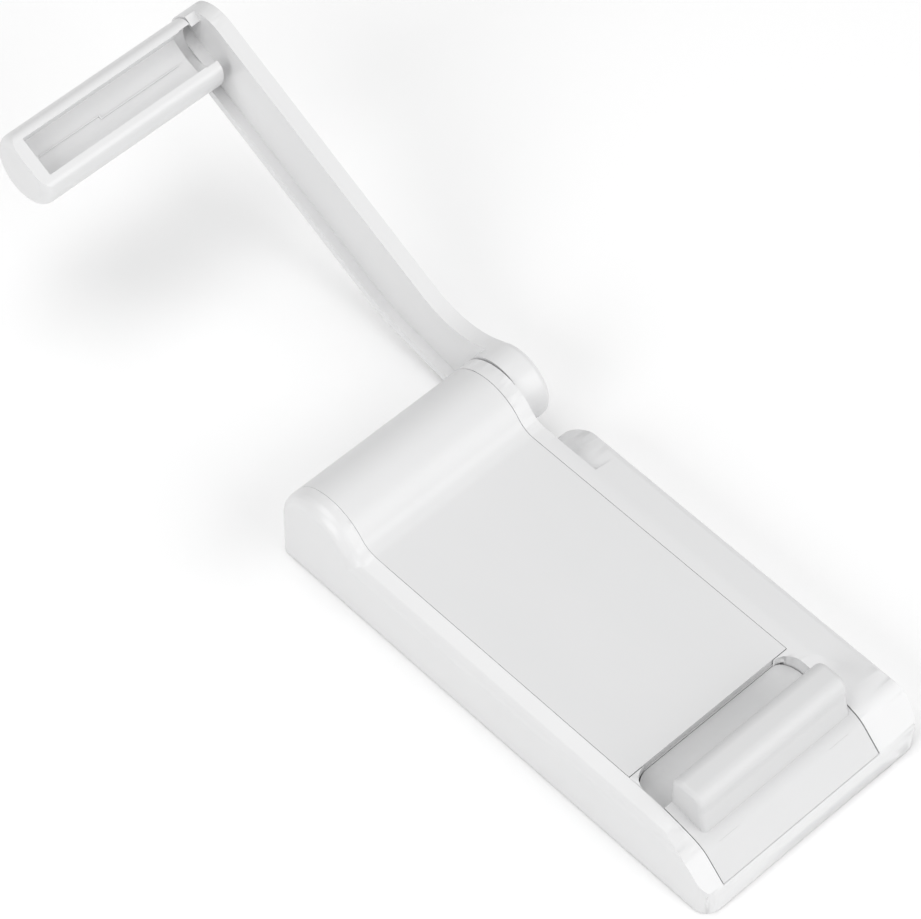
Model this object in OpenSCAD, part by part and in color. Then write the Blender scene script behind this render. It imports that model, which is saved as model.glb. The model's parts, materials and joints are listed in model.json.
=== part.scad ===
// Fold-over lever operator for a window sash: a wide flat housing with a barrel
// at one end, a dog-legged lever with a trough grip, and a bolt driven by a pinion.
// Units are millimetres. X runs along the barrel, Z is up off the mounting face,
// and the origin lies on that face under the lever's axis.

/* [Housing] */
// overall width along the barrel
body_w = 67; // [60:1:80]
// lever axis to the front edge
body_len = 125; // [112:1:150]
// outside radius of the barrel, also the height of the lever's axis
barrel_r = 12.5; // [12:0.1:14]
// height of the flat deck
deck_h = 17.5; // [17:0.1:19]
// wall of the mouldings
wall = 2.2; // [1.8:0.1:2.6]
// radius of the two front corners
corner_r = 4; // [3.5:0.1:6]
// width of the sweeping cover between its two seams
cover_w = 48.9; // [44:0.1:56]
// rim left of the cover
left_rim = 5.4; // [4.6:0.1:7]
// cheek right of the cover
cheek_t = 3.9; // [3:0.1:5]
// visible seam between mouldings
seam = 0.25; // [0.15:0.05:0.4]

/* [Lever] */
// turn from the open pose to the folded one, in degrees
swing = 152.3; // [140:0.1:160]
// half the lever's width, also the radius of its round end
arm_r = 9.8; // [9:0.1:10.5]
// radius of the hub's disc
hub_r = 10.0; // [9.4:0.1:10.4]
// thickness of the hub
hub_t = 7.8; // [7.4:0.1:9]
// thickness of the lever's web
web_t = 4.1; // [3:0.1:4.6]
// height of the lip along the web
lip_h = 2.7; // [2:0.1:3.2]
// thickness of that lip
lip_t = 2.3; // [1.6:0.1:3]

/* [Grip and catch] */
// radius of the half-round grip
grip_r = 9.3; // [8.8:0.1:9.8]
// distance from the grip's centre to its flat face
flat_h = 6.05; // [5:0.05:7]
// thickness of the catch bar
bar_t = 9.4; // [8:0.1:10.4]
// clearance between bar and trough on each side
bar_clear = 0.5; // [0.4:0.05:0.7]
// grip wall at its closed end
grip_end = 3.2; // [2.5:0.1:5]

/* [Mechanism] */
// gear module
gear_m = 1; // [0.9:0.05:1.1]
// teeth on the pinion
teeth = 12; // [11:1:13]
// radius of the drive shaft
shaft_r = 4; // [3.5:0.1:4.5]
// running clearance on the radius
run = 0.05; // [0.02:0.01:0.09]
// thickness of the steel base plate
plate_t = 1.5; // [1.2:0.1:2]

/* [Hidden] */
$fn = 64;
eps = 0.01;
axis_z = barrel_r;
xl = -body_w / 2;
xr = body_w / 2;
cover_x0 = xl + left_rim;
cover_x1 = cover_x0 + cover_w;
cheek_x = cover_x1 + cheek_t;
cover_xc = (cover_x0 + cover_x1) / 2;
front_y = -body_len;
cover_front = front_y + 29.7;
fillet_r = 6;
// the lever as it lies folded along -Y
arm_len = body_len - 16.0;
arm_under = deck_h - 0.3;
grip_z = arm_under + arm_r;
flat_z = grip_z - flat_h;
bar_top = flat_z + 4.85;
bar_y = -arm_len;
washer_t = 0.5;
hub_x0 = cheek_x + washer_t;
hub_x1 = hub_x0 + hub_t;
web_x0 = hub_x0 + lip_h;
web_x1 = web_x0 + web_t;
hub_round = 2.0;
// the disc sits a little off the axis, towards the arm, so it clears the mounting face
hub_y = -2.5;
hub_z = axis_z - 1.5;
neck_r = 23.2;
neck_z = arm_under - neck_r;
neck_y = hub_y - sqrt(pow(neck_r + hub_r - 0.02, 2) - pow(hub_z - neck_z, 2));
neck_slope = 16;
shoulder_r = 13;
shoulder_y = -5.8;
shoulder_z = axis_z + 2.5;
// catch bar and the grip that folds over it
catch_y = bar_y - 0.6;
trough_y = bar_y - 0.4;
rear_lip = 9.2;
catch_corner = 4.5;
scoop_r = 6.2;
scoop_deep = 4.2;
bar_x0 = cover_x0 + 2.6;
bar_x1 = cover_x1 - 0.9;
trough_x0 = bar_x0 - 0.4;
grip_x0 = trough_x0 - grip_end;
grip_x1 = hub_x0 - 0.3;
trough_w = bar_t + 2 * bar_clear;
// gear and bolt
pitch_r = gear_m * teeth / 2;
backlash = 0.17 * gear_m;
rack_add = 0.7 * gear_m;
pin_add = 0.9 * gear_m;
pitch_z = axis_z - pitch_r;
collar_r = pitch_r - rack_add - 0.2;
rack_root = pitch_z - pin_add - 0.3;
gear_w = 6.4;
rail_x = 5;
rack_x = 3.4;
guide_floor = 0.8;
rail_z0 = plate_t + guide_floor + 0.1;
rail_z1 = rail_z0 + 1.8;
rack_back = 24;
bolt_end = barrel_r - 0.6;
open_extra = 10;
// places of screws
plate_inset = wall + 0.3;
boss_x = [cover_x0 + 0.9, cover_x1 - 0.9];
boss_y = [-42, cover_front + 6];
guide_sx = 10.2;
guide_sy = [-12.5, -23.5];
mount_dx = 19;
mount_y = [-34, -80];
insert_sx = 17;
insert_sy = front_y + 9.5;
shelf_z0 = 4.5;
shelf_z1 = 6.5;
// middle of the gear and bolt, then the bearing brackets on the base plate
gear_x = cover_xc + 3.65;
brk_l = [cover_x0 + 14.1, cover_x0 + 16.6];
brk_r = [cover_x1 - 8.3, cover_x1 - 5.8];
bush_r = 5.5;
flange_r = 7.5;
flange_t = 1.2;
shaft_l = brk_l[0] - 5.2;

// a flat drawing in the Y-Z plane, thickened from x0 to x1
module yz(x0, x1) {
    translate([x0, 0, 0]) rotate([90, 0, 90]) linear_extrude(x1 - x0) children();
}
// a flat drawing in the X-Z plane, thickened from y0 to y1
module xz(y0, y1) {
    translate([0, y1, 0]) rotate([90, 0, 0]) linear_extrude(y1 - y0) children();
}
module block(x, y, z) {
    translate([x[0], y[0], z[0]]) cube([x[1] - x[0], y[1] - y[0], z[1] - z[0]]);
}
module xcyl(x0, x1, r, y = 0, z = axis_z) {
    translate([x0, y, z]) rotate([0, 90, 0]) cylinder(r = r, h = x1 - x0);
}
module box2(y, z) {
    translate([y[0], z[0]]) square([y[1] - y[0], z[1] - z[0]]);
}
// a plate outline with round corners, drawn from plain squares and circles
module round_rect(x, y, r_rear, r_front) {
    box2x = x[1] - x[0];
    translate([x[0] + r_front, y[0]]) square([box2x - 2 * r_front, y[1] - y[0] - r_rear]);
    translate([x[0], y[0] + r_front]) square([box2x, y[1] - y[0] - r_rear - r_front]);
    translate([x[0] + r_rear, y[0] + r_front])
        square([box2x - 2 * r_rear, y[1] - y[0] - r_front]);
    for (s = [x[0] + r_front, x[1] - r_front]) translate([s, y[0] + r_front]) circle(r_front);
    for (s = [x[0] + r_rear, x[1] - r_rear]) translate([s, y[1] - r_rear]) circle(r_rear);
}
// moves a folded piece to where it stands with the lever open
module opened() {
    translate([0, 0, axis_z]) rotate([-swing, 0, 0]) translate([0, 0, -axis_z]) children();
}

// ---- housing, cover and catch share one side profile ----

brow_r = 74;
brow_y = cover_front - 1.5;
module front_profile(drop = 0) {
    intersection() {
        box2([front_y + drop, 0], [-1, deck_h - drop]);
        union() {
            box2([brow_y, 0], [-1, deck_h - drop]);
            translate([brow_y, deck_h - brow_r]) circle(brow_r - drop, $fn = 128);
        }
        translate([front_y + drop * 0.6, 7 - drop * 0.6]) rotate(46) translate([-60, -160])
            square([240, 160]);
    }
}
module barrel_profile(r, d) {
    rise = d - axis_z;
    reach = r + fillet_r + (barrel_r - r);
    fz = deck_h + fillet_r - axis_z;
    fy = -sqrt(reach * reach - fz * fz);
    translate([0, axis_z]) circle(r);
    box2([-r, r], [0, axis_z]);
    difference() {
        translate([0, axis_z]) polygon([[0, 0], [fy, 0], [fy, rise], [fy * r / reach, fz * r / reach]]);
        translate([fy, axis_z + fz]) circle(reach - r);
    }
}
module side_profile(drop = 0) {
    front_profile(drop);
    barrel_profile(barrel_r - drop, deck_h - drop);
}
strip_drop = 1.7;
module rim_section(inset = 0) {
    e = 1.2;
    polygon([
        [xl + inset, -1], [xr - inset, -1],
        [xr - inset, deck_h - strip_drop - e - inset],
        [xr - inset - e * 0.35, deck_h - strip_drop - e * 0.35 - inset],
        [xr - inset - e * 1.2, deck_h - strip_drop + 0.1 - inset],
        [cheek_x, deck_h - 0.1 - inset], [cover_x1, deck_h - inset],
        [cover_x0, deck_h - inset],
        [xl + inset + e * 1.2, deck_h - strip_drop + 0.2 - inset],
        [xl + inset + e * 0.35, deck_h - strip_drop - e * 0.3 - inset],
        [xl + inset, deck_h - strip_drop - e - inset],
    ]);
}
module rounded_barrel(r, x0, x1, round) {
    translate([x0, 0, axis_z]) rotate([0, 90, 0]) rotate_extrude() {
        square([r - round, x1 - x0]);
        translate([0, round]) square([r, x1 - x0 - round]);
        translate([r - round, round]) circle(round);
    }
}
module housing_outer() {
    rounded_barrel(barrel_r, xl, cheek_x, 3);
    // the hollow fillet carries on across both rims
    intersection() {
        yz(xl + 2.2, cheek_x) barrel_profile(barrel_r, deck_h);
        block([xl, cheek_x], [-16, -8], [deck_h - 1, deck_h + 3]);
    }
    intersection() {
        linear_extrude(axis_z) round_rect([xl, cheek_x], [-40, barrel_r], 2.5, 0.1);
        block([xl, cheek_x], [-30, barrel_r], [0, axis_z]);
    }
    intersection() {
        union() {
            yz(xl, cover_x1 + eps) side_profile();
            yz(cover_x1, cheek_x) side_profile();
            yz(cheek_x - eps, xr) strip_profile();
        }
        xz(front_y - 1, 0) rim_section();
        linear_extrude(40) round_rect([xl, xr], [front_y, 20], 0.1, corner_r);
    }
}
// the wide strip stops short of the hub and rounds down beside it
module strip_profile(drop = 0) {
    difference() {
        front_profile(drop);
        difference() {
            box2([neck_y, 20], [-2, 40]);
            translate([neck_y, neck_z + 0.8]) circle(neck_r - 1.6 - drop);
        }
    }
}
module housing_inner() {
    w = wall;
    xcyl(xl + w, cover_x1, barrel_r - w);
    block([xl + w, cover_x1], [-30, barrel_r - w], [-1, axis_z]);
    intersection() {
        union() {
            yz(xl + w, cover_x1) side_profile(w);
            yz(cover_x1 - eps, cover_x1 + 1.6) front_profile(w);
            yz(cover_x1, xr - w) strip_profile(w);
        }
        xz(front_y + w, -barrel_r) rim_section(w);
        translate([0, 0, -1]) linear_extrude(40) round_rect([xl + w, xr - w], [front_y + w, 20], 0.1, corner_r - w * 0.6);
    }
}
rib = 1.5;
module housing() {
    color("white") difference() {
        union() {
            difference() {
                housing_outer();
                housing_inner();
            }
            // ribs and ledges that carry the cover along both rims
            intersection() {
                union() {
                    block([cover_x0 - rib, cover_x0 + 1.8], [front_y + wall, -16], [deck_h - 4.4, deck_h - 2.1]);
                    block([cover_x1 - 1.8, cover_x1 + rib], [front_y + wall, -16], [deck_h - 4.4, deck_h - 2.1]);
                    block([cover_x0 - rib, cover_x0], [front_y + wall, -16], [deck_h - 4.4, deck_h]);
                    block([cover_x1, cover_x1 + rib], [front_y + wall, -16], [deck_h - 4.4, deck_h]);
                    block([cover_x0 - rib, cover_x0], [front_y + 1, cover_front], [shelf_z0, deck_h]);
                    block([cover_x1, cover_x1 + rib], [front_y + 1, cover_front], [shelf_z0, deck_h]);
                    // cross wall and shelf under the catch
                    block([cover_x0 - rib, cover_x1 + rib], [cover_front, cover_front + 2], [shelf_z0, deck_h - 2.1]);
                    block([xl + 1, xr - 1], [front_y + 1, cover_front + 2], [shelf_z0, shelf_z1]);
                }
                yz(xl, xr) front_profile(0.5);
                xz(front_y, 0) rim_section(0.5);
                linear_extrude(40) round_rect([xl + 1, xr - 1], [front_y + 1, 20], 0.1, corner_r - 0.5);
            }
            for (x = boss_x, y = boss_y) translate([x, y, plate_t + 0.1])
                cylinder(r = 3.2, h = deck_h - 4.4 + 0.4 - plate_t);
        }
        // opening for the cover
        block([cover_x0, cover_x1], [cover_front, barrel_r + 1], [deck_h - 2.1, 60]);
        block([cover_x0 + 1.8, cover_x1 - 1.8], [cover_front + 2, -10], [deck_h - wall - 0.3, 60]);
        block([cover_x0, cover_x1], [-16, barrel_r + 1], [rear_lip, 60]);
        // opening for the catch
        translate([0, 0, shelf_z1]) linear_extrude(60)
            round_rect([cover_x0, cover_x1], [front_y + 0.9, cover_front + eps], catch_corner + 0.3, 0.1);
        block([cover_x0, cover_x1], [front_y - 1, front_y + 1], [7.4, 60]);
        for (x = boss_x, y = boss_y) translate([x, y, -1]) cylinder(r = 1.5, h = 11.5);
        for (s = [-1, 1]) translate([cover_xc + s * insert_sx, insert_sy, shelf_z0 - 1])
            cylinder(r = 1.5, h = 4);
        // shaft passes the right cheek, the bolt passes the rear wall
        xcyl(brk_r[1] + flange_t + 1, cheek_x + 1, shaft_r + 0.3);
        block([gear_x - rail_x - 0.3, gear_x + rail_x + 0.3], [barrel_r - 4, barrel_r + 1], [rail_z0 - 0.3, 7.5]);
    }
}
module cover_panel() {
    x0 = cover_x0 + seam;
    x1 = cover_x1 - seam;
    color("white") {
        difference() {
            yz(x0, x1) difference() {
                intersection() {
                    side_profile();
                    union() {
                        box2([cover_front + seam, -14], [deck_h - 2, 60]);
                        box2([-14 - eps, 60], [rear_lip + seam, 60]);
                    }
                }
                side_profile(2);
                box2([-16, barrel_r - 2], [0, deck_h - 2]);
            }
            // the strips beside the barrel stay clear of the cheeks inside
            block([x0 - 1, x1 + 1], [-30, barrel_r - 2 - eps], [0, rear_lip]);
        }
        // snap legs that hook under the ledges
        for (y = [-30, -62, cover_front + 14]) {
            snap_leg(cover_x0 + 2.0, -1, y);
            snap_leg(cover_x1 - 2.0, 1, y);
        }
    }
}
module snap_leg(x, dir, y) {
    xa = dir > 0 ? [x - 1.2, x] : [x, x + 1.2];
    xb = dir > 0 ? [x - eps, x + 1.0] : [x - 1.0, x + eps];
    block(xa, [y, y + 7], [deck_h - 5.8, deck_h - 2 + eps]);
    block(xb, [y, y + 7], [deck_h - 5.8, deck_h - 4.6]);
}
module bar_shape() {
    r = 3.3;
    y0 = catch_y - bar_t / 2;
    y1 = catch_y + bar_t / 2;
    box2([y0, y1], [deck_h - 6, bar_top - r]);
    box2([y0 + r, y1 - r], [deck_h - 6, bar_top]);
    for (y = [y0 + r, y1 - r]) translate([y, bar_top - r]) circle(r);
    // foot that flares forward below the folded grip
    polygon([[y0 - 1.3, deck_h - 6], [y0 + 1, deck_h - 6], [y0 + 1, flat_z - 0.3], [y0, flat_z - 0.3], [y0 - 1.3, deck_h - 2.4]]);
}
module catch_insert() {
    x0 = cover_x0 + 0.35;
    x1 = cover_x1 - 0.35;
    scoop_y = (cover_front + catch_y + bar_t / 2) / 2;
    color("whitesmoke") difference() {
        union() {
            intersection() {
                yz(x0, x1) difference() {
                    intersection() {
                        front_profile(0.15);
                        box2([front_y + 0.15, cover_front - 0.35], [shelf_z1 + 0.02, deck_h]);
                    }
                    translate([scoop_y, deck_h + scoop_r - scoop_deep]) circle(scoop_r);
                }
                linear_extrude(60) round_rect([x0, x1], [front_y + 0.1, cover_front - 0.35], catch_corner, 0.1);
            }
            yz(bar_x0, bar_x1) bar_shape();
        }
        // cored from below, leaving the skin, the skirts and two screw posts
        difference() {
            union() {
                block([x0 + 2, x1 - 2], [front_y + 6.2, cover_front - 2.4], [0, deck_h - scoop_deep - 2]);
                block([bar_x0 + 2.4, bar_x1 - 2.4], [catch_y - bar_t / 2 + 2.2, catch_y + bar_t / 2 - 2.2], [0, bar_top - 3.4]);
            }
            for (s = [-1, 1]) translate([cover_xc + s * insert_sx, insert_sy, 0])
                cylinder(r = 3, h = deck_h - 2);
        }
        for (s = [-1, 1]) translate([cover_xc + s * insert_sx, insert_sy, 0])
            cylinder(r = 1.3, h = 13);
        // the front edge stops on the housing's lip
        block([x0 - 1, x1 + 1], [front_y - 1, front_y + 1.1], [0, 7.6]);
    }
}

// ---- lever, drawn folded and then opened ----

module lever_outline() {
    tan_y = shoulder_y + shoulder_r * sin(neck_slope);
    tan_z = shoulder_z + shoulder_r * cos(neck_slope);
    top_z = grip_z + arm_r;
    bend_y = tan_y - (top_z - tan_z) / tan(neck_slope);
    translate([hub_y, hub_z]) circle(hub_r);
    translate([bar_y, grip_z]) circle(arm_r);
    box2([bar_y, bend_y], [arm_under, top_z]);
    difference() {
        union() {
            translate([shoulder_y, shoulder_z]) circle(shoulder_r);
            polygon([
                [tan_y, tan_z], [bend_y - eps, top_z], [bend_y - eps, arm_under],
                [neck_y, arm_under], [hub_y - hub_r * 0.6, hub_z - hub_r * 0.75], [0, axis_z],
            ]);
        }
        translate([neck_y, neck_z]) circle(neck_r);
    }
}
module lip_outline() {
    t = lip_t;
    difference() {
        intersection() {
            lever_outline();
            box2([-200, 50], [flat_z, 100]);
        }
        translate([0, -t / cos(neck_slope) * 0.98]) intersection() {
            lever_outline();
            box2([bar_y, 50], [-20, 100]);
        }
        box2([bar_y, -20], [0, grip_z]);
        translate([bar_y, grip_z]) circle(arm_r - t);
    }
    translate([hub_y, hub_z]) circle(hub_r);
}
module crank_arm() {
    color("white") opened() difference() {
        union() {
            yz(web_x0, web_x1) lever_outline();
            yz(hub_x0, web_x0 + eps) lip_outline();
            translate([hub_x1, hub_y, hub_z]) rotate([0, -90, 0]) rotate_extrude() {
                square([hub_r - hub_round, hub_t]);
                translate([0, hub_round]) square([hub_r, hub_t - hub_round]);
                translate([hub_r - hub_round, hub_round]) circle(hub_round);
            }
        }
        // D bore for the shaft, then the screw and its head
        difference() {
            xcyl(hub_x0 - 1, hub_x0 + 3.8, shaft_r + 0.03);
            block([hub_x0 - 2, hub_x0 + 6], [-9, 9], [axis_z + shaft_r - 0.97, axis_z + 20]);
        }
        xcyl(hub_x0, hub_x1 + 1, 2.15);
        xcyl(hub_x1 - 2.2, hub_x1 + 1, 3.8);
        for (s = [-1, 1]) {
            xcyl(web_x0 - 1, web_x1 + 1, 1.6, bar_y + s * 3.4, grip_z + 4.4);
            xcyl(web_x1 - 1.7, web_x1 + 1, 2.9, bar_y + s * 3.4, grip_z + 4.4);
        }
    }
}
module handle_grip() {
    round = 2.6;
    floor_z = bar_top + 0.4;
    color("white") opened() difference() {
        union() {
            intersection() {
                translate([grip_x0, bar_y, grip_z]) rotate([0, 90, 0]) rotate_extrude() {
                    square([grip_r - round, grip_x1 - grip_x0]);
                    translate([0, round]) square([grip_r, grip_x1 - grip_x0 - round]);
                    translate([grip_r - round, round]) circle(round);
                }
                block([grip_x0 - 1, grip_x1 + 1], [bar_y - 20, bar_y + 20], [flat_z, 60]);
            }
            // tongue that seats inside the lever's lip
            intersection() {
                xcyl(grip_x1 - eps, web_x0, arm_r - lip_t - 0.25, bar_y, grip_z);
                block([0, 60], [bar_y - 20, bar_y + 20], [floor_z + 1.2, 60]);
            }
        }
        // trough for the catch bar, open at the lever end, with a shallow V floor
        yz(trough_x0, web_x0 + 1) polygon([
            [trough_y - trough_w / 2, flat_z - 1], [trough_y + trough_w / 2, flat_z - 1],
            [trough_y + trough_w / 2, floor_z], [trough_y, floor_z + 0.9],
            [trough_y - trough_w / 2, floor_z],
        ]);
        // floor cut back beside the lever
        xcyl(grip_x1 - 3.2, grip_x1 + eps, 6.0, trough_y, floor_z - 2.6);
        for (s = [-1, 1]) xcyl(grip_x1 - 9, web_x0 + 1, 1.5, bar_y + s * 3.4, grip_z + 4.4);
    }
}

// ---- base and mechanism ----

module csk_hole(r, head_r, h = 1.4) {
    translate([0, 0, -1]) cylinder(r = r + 0.1, h = plate_t + 2);
    translate([0, 0, -eps]) cylinder(r1 = head_r + 0.1, r2 = r + 0.1, h = h);
}
module csk_screw(r, head_r, len) {
    translate([0, 0, 0.1]) cylinder(r1 = head_r, r2 = r, h = 1.3);
    translate([0, 0, 0.2]) cylinder(r = r, h = len - 0.2);
}
module bracket(x, foot = 7.5) {
    block(x, [-foot, foot], [plate_t - eps, axis_z]);
    xcyl(x[0], x[1], foot);
}
module base_plate() {
    i = plate_inset;
    color("silver") difference() {
        union() {
            linear_extrude(plate_t) difference() {
                round_rect([xl + i, xr - i], [front_y + i, barrel_r - i], 1.5, corner_r - 1);
                box_y = neck_y + 2;
                translate([cover_x1 - 0.3, box_y]) square([40, 80]);
            }
            bracket(brk_l);
            bracket(brk_r);
        }
        for (x = [brk_l, brk_r]) xcyl(x[0] - 1, x[1] + 1, bush_r);
        for (x = boss_x, y = boss_y) translate([x, y, 0]) csk_hole(1.4, 2.7);
        for (s = [-1, 1], y = guide_sy) translate([gear_x + s * guide_sx, y, 0]) csk_hole(1.2, 2.4);
        for (s = [-1, 1], y = mount_y) translate([cover_xc + s * mount_dx, y, -1])
            cylinder(r = 2.25, h = plate_t + 2);
        for (s = [-1, 1]) translate([cover_xc + s * insert_sx, insert_sy, -1])
            cylinder(r = 3.2, h = plate_t + 2);
    }
}
module drive_shaft() {
    color("lightsteelblue") difference() {
        union() {
            xcyl(shaft_l, hub_x0 + 3.6, shaft_r);
        }
        // flat for the hub's D bore
        opened() block([hub_x0 - 0.2, hub_x1], [-9, 9], [axis_z + shaft_r - 1, axis_z + 20]);
        xcyl(hub_x0 - 8, hub_x1, 2.03);
        // groove for the circlip
        difference() {
            xcyl(shaft_l + 0.8, shaft_l + 1.7, shaft_r + 1);
            xcyl(shaft_l, shaft_l + 3, shaft_r - 0.5);
        }
        translate([gear_x + 5.7, 0, 0]) cylinder(r = 1.25, h = 40);
    }
}
function inv(a) = tan(a) * 180 / PI - a;
base_r = pitch_r * cos(20);
root_r = pitch_r - rack_add - 0.3;
half_deg = (PI / 2 * gear_m - backlash) / 2 / pitch_r * 180 / PI;
function flank(r) = half_deg + inv(20) - inv(acos(base_r / r));
flank_steps = 4;
tip_r = pitch_r + pin_add;
module pinion_outline() {
    radii = [for (i = [0:flank_steps]) base_r + (tip_r - base_r) * i / flank_steps];
    one = concat(
        [[root_r, -flank(base_r)]],
        [for (r = radii) [r, -flank(r)]],
        [for (i = [flank_steps:-1:0]) [radii[i], flank(radii[i])]],
        [[root_r, flank(base_r)]]);
    polygon([for (k = [0:teeth - 1]) for (p = one)
        [p[0] * cos(p[1] - 90 + k * 360 / teeth), p[0] * sin(p[1] - 90 + k * 360 / teeth)]]);
}
module pinion() {
    color("goldenrod") translate([gear_x, 0, 0]) difference() {
        union() {
            yz(-gear_w / 2, gear_w / 2) translate([0, axis_z]) pinion_outline();
            xcyl(gear_w / 2 - eps, gear_w / 2 + 5, collar_r);
        }
        xcyl(-20, 20, shaft_r + 0.02);
        translate([5.7, 0, 0]) cylinder(r = 1.25, h = 40);
    }
}
module roll_pin() {
    color("gray") translate([gear_x, 0, 0]) difference() {
        translate([5.7, 0, axis_z - collar_r + 0.1]) cylinder(r = 1.23, h = 2 * collar_r - 0.2);
        translate([5.7, 0, 0]) cylinder(r = 0.6, h = 60);
        block([5.4, 6.0], [0, 3], [0, 60]);
    }
}
module rack_outline() {
    half = (PI / 2 * gear_m - backlash) / 2;
    low = half + (pitch_z - rack_root) * tan(20);
    high = half - rack_add * tan(20);
    for (k = [-7:1]) translate([(k + 0.5) * PI * gear_m, 0]) polygon([
        [-low, rack_root - eps], [low, rack_root - eps],
        [high, pitch_z + rack_add], [-high, pitch_z + rack_add],
    ]);
}
module bolt_rack() {
    nose = bolt_end - 4.8;
    color("lightgray") translate([gear_x, 0, 0]) {
        block([-rail_x, rail_x], [-rack_back, nose + eps], [rail_z0, rail_z1]);
        block([-rack_x, rack_x], [-rack_back, nose + eps], [rail_z1 - eps, rack_root]);
        yz(-rack_x, rack_x) rack_outline();
        yz(-rail_x, rail_x) polygon([
            [nose, rail_z0], [bolt_end - 1.5, rail_z0], [bolt_end, rail_z0 + 1.5],
            [bolt_end, pitch_z - 1], [bolt_end - 1.5, pitch_z + 0.5], [nose, pitch_z + 0.5],
        ]);
    }
}
module bolt_guide() {
    z0 = plate_t;
    zl = rail_z1 + 0.12;
    stop_y = -rack_back - open_extra * PI / 180 * pitch_r - 0.15;
    y0 = stop_y - 2.6;
    y1 = 5.5;
    xi = rail_x + 0.12;
    color("dimgray") translate([gear_x, 0, 0]) difference() {
        union() {
            block([-xi - 2.2, xi + 2.2], [y0, y1], [z0, zl + 1]);
            for (y = guide_sy) block([-guide_sx - 2.8, guide_sx + 2.8], [y - 2.8, y + 2.8], [z0, z0 + 3]);
        }
        block([-xi, xi], [stop_y, y1 + 1], [z0 + guide_floor, zl]);
        block([-rack_x - 0.3, rack_x + 0.3], [stop_y, y1 + 1], [zl - 1, zl + 5]);
        for (s = [-1, 1], y = guide_sy) translate([s * guide_sx, y, 0]) cylinder(r = 1.25, h = 20);
    }
}
module bush(x, dir) {
    f = dir > 0 ? [x[1], x[1] + flange_t] : [x[0] - flange_t, x[0]];
    color("tan") difference() {
        union() {
            xcyl(x[0], x[1], bush_r - 0.02);
            xcyl(f[0], f[1], flange_r);
        }
        xcyl(-60, 60, shaft_r + run);
    }
}
module bush_left() {
    bush(brk_l, -1);
}
module bush_right() {
    bush(brk_r, 1);
}
module thrust_washer() {
    color("gray") difference() {
        xcyl(cheek_x + 0.01, hub_x0 - 0.01, 7);
        xcyl(cheek_x - 1, hub_x0 + 1, shaft_r + 0.1);
    }
}
back_x = brk_l[0] - flange_t - 0.65;
module backing_washer() {
    color("silver") difference() {
        xcyl(back_x, back_x + 0.6, 7);
        xcyl(back_x - 1, back_x + 1, shaft_r + 0.1);
    }
}
module spring_washer() {
    room = back_x - (shaft_l + 1.7);
    color("silver") translate([back_x - 0.02, 0, axis_z]) rotate([0, -90, 0]) rotate_extrude()
        polygon([[shaft_r + 0.2, room - 0.55], [shaft_r + 0.2, room - 0.05], [7, 0.5], [7, 0]]);
}
module circlip() {
    color("dimgray") difference() {
        union() {
            xcyl(shaft_l + 0.85, shaft_l + 1.65, 5.6);
            xcyl(shaft_l + 0.85, shaft_l + 1.65, 1.3, 2.2, axis_z - 5.4);
            xcyl(shaft_l + 0.85, shaft_l + 1.65, 1.3, -2.2, axis_z - 5.4);
        }
        xcyl(shaft_l, shaft_l + 3, shaft_r - 0.45);
        block([shaft_l, shaft_l + 3], [-1.2, 1.2], [0, axis_z]);
    }
}
module hub_screw() {
    head = hub_x1 - 2.2;
    color("silver") opened() difference() {
        union() {
            xcyl(hub_x0 - 6, head + eps, 1.98);
            xcyl(head, head + 1.9, 3.6);
        }
        for (a = [0, 90]) translate([head + 1.4, 0, axis_z]) rotate([a, 0, 0])
            cube([2, 4.4, 0.9], center = true);
    }
}
module grip_screws() {
    head = web_x1 - 1.7;
    color("silver") opened() for (s = [-1, 1]) difference() {
        union() {
            xcyl(grip_x1 - 8, head + eps, 1.45, bar_y + s * 3.4, grip_z + 4.4);
            xcyl(head, head + 1.5, 2.7, bar_y + s * 3.4, grip_z + 4.4);
        }
        for (a = [0, 90]) translate([head + 1.1, bar_y + s * 3.4, grip_z + 4.4]) rotate([a, 0, 0])
            cube([2, 3.2, 0.7], center = true);
    }
}
module housing_screws() {
    color("silver") for (x = boss_x, y = boss_y) translate([x, y, 0]) csk_screw(1.4, 2.7, 9.5);
}
module insert_screws() {
    color("silver") for (s = [-1, 1]) translate([cover_xc + s * insert_sx, insert_sy, 0]) {
        translate([0, 0, shelf_z0 - 1.7]) cylinder(r = 2.6, h = 1.68);
        translate([0, 0, shelf_z0 - 0.1]) cylinder(r = 1.25, h = 8);
    }
}
module guide_screws() {
    color("silver") for (s = [-1, 1], y = guide_sy) translate([gear_x + s * guide_sx, y, 0]) csk_screw(1.2, 2.4, 4.2);
}

housing();
cover_panel();
catch_insert();
crank_arm();
handle_grip();
base_plate();
drive_shaft();
pinion();
bolt_rack();
bolt_guide();
bush_left();
bush_right();
thrust_washer();
backing_washer();
spring_washer();
circlip();
hub_screw();
roll_pin();
grip_screws();
housing_screws();
insert_screws();
guide_screws();
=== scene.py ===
# %% [markdown]
# A fold-over lever operator for a window sash. The mechanism comes ready made as
# the fixed frame; here its five visible plastic mouldings are modelled with soft
# moulded edges, and every piece gets its finish.
# The frame is loaded first, because every later size and place is read from it.

# %% Load the frame
import json
import math
import bpy
from mathutils import Matrix, Vector


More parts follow.
